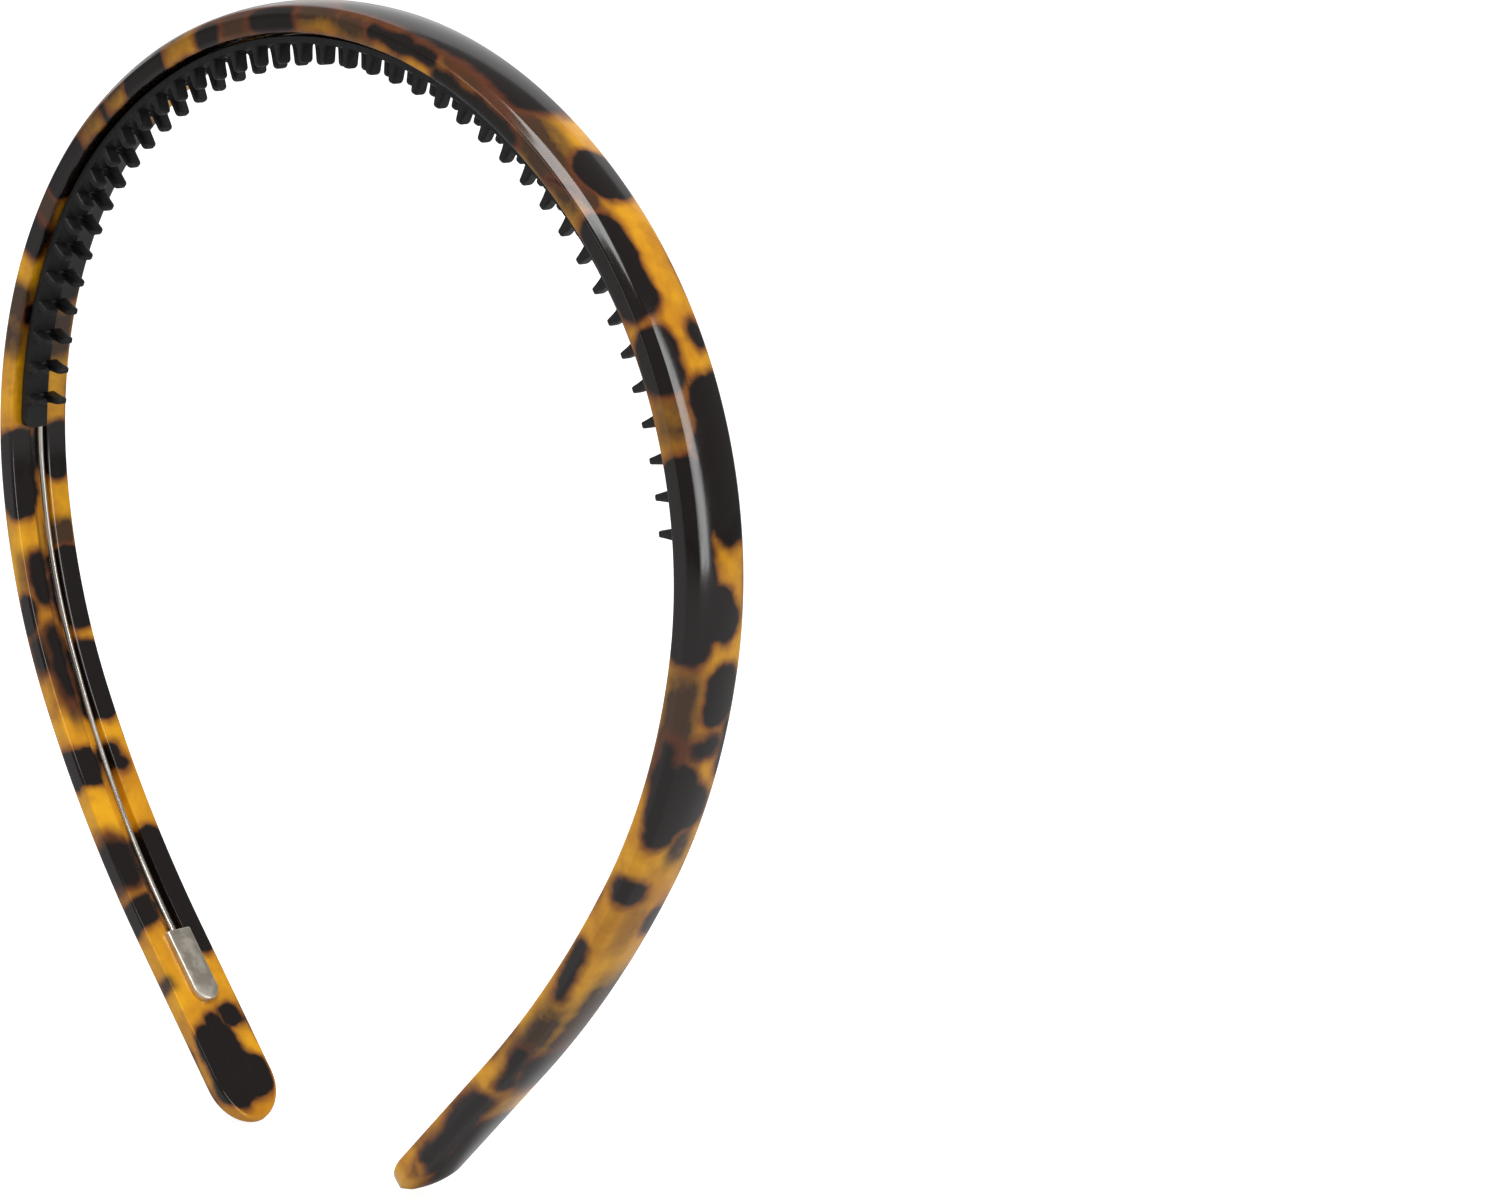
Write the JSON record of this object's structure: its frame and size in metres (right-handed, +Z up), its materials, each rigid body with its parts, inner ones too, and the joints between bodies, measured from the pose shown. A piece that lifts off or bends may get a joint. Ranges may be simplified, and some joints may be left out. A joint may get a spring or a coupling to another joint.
{
  "type": "headband",
  "caption": "Narrow arched acetate headband in mottled amber and dark brown, with a black flexible comb sliding on a spring wire along its inner face.",
  "frame": {"origin": "middle of the band's inner face at the crown, where it rests on top of the head", "axes": "+X to the wearer's left ear side as seen from the front, +Y from front to back across the band's width, +Z up"},
  "size_m": [0.131, 0.0088, 0.1431],
  "materials": {
    "acetate": "polished, mottled amber and dark brown",
    "comb_plastic": "matte black moulding",
    "wire_steel": "drawn wire",
    "plate_nickel": "satin nickel"
  },
  "bodies": {
    "frame": {"band": "acetate", "spring_wire": "wire_steel", "left_end_plate": "plate_nickel", "right_end_plate": "plate_nickel"},
    "comb": {"comb": "comb_plastic"}
  },
  "joints": [
    {"name": "comb_slide", "type": "hinge", "parent": "frame", "child": "comb", "pos_m": [0, 0, -0.0659], "axis": [0, 1, 0], "range_deg": [-1.2, 1.2]}
  ]
}
